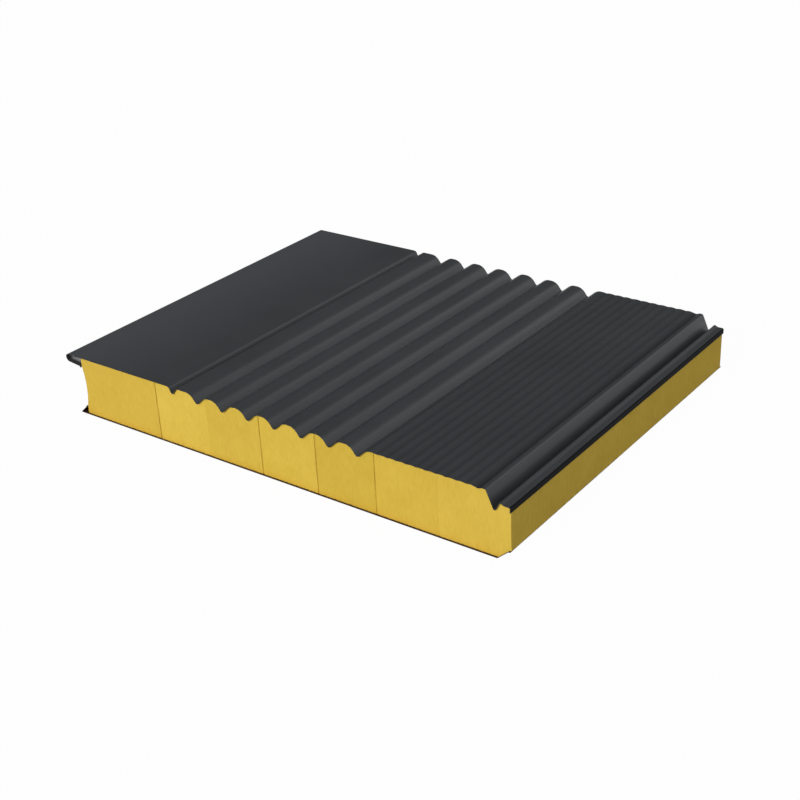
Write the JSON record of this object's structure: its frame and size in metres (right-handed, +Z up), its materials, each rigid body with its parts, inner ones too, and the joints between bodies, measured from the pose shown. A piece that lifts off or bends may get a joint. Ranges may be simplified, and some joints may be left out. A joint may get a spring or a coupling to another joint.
{
  "type": "insulated sandwich panel",
  "caption": "Wall panel with a wool lamella core between two roll-formed steel facings, waved and finely ribbed outside, with a tongue and a screw recess.",
  "frame": {"origin": "middle of the panel's underside, on the inner facing", "axes": "+X across the panel from the tongue edge to the recessed edge, +Y along the ribs, +Z up, out of the outer facing"},
  "size_m": [1.036, 0.8, 0.125],
  "materials": {
    "outer_paint": "anthracite coil coating, matt, on zinc-coated steel",
    "inner_paint": "dark grey coil coating, matt, on zinc-coated steel",
    "wool": "sawn face of bonded yellow wool, fibres on edge"
  },
  "bodies": {
    "root": {"outer_facing": "outer_paint", "inner_facing": "inner_paint", "core_lamella_1": "wool", "core_lamella_2": "wool", "core_lamella_3": "wool", "core_lamella_4": "wool", "core_lamella_5": "wool", "core_lamella_6": "wool", "core_lamella_7": "wool"}
  },
  "joints": []
}
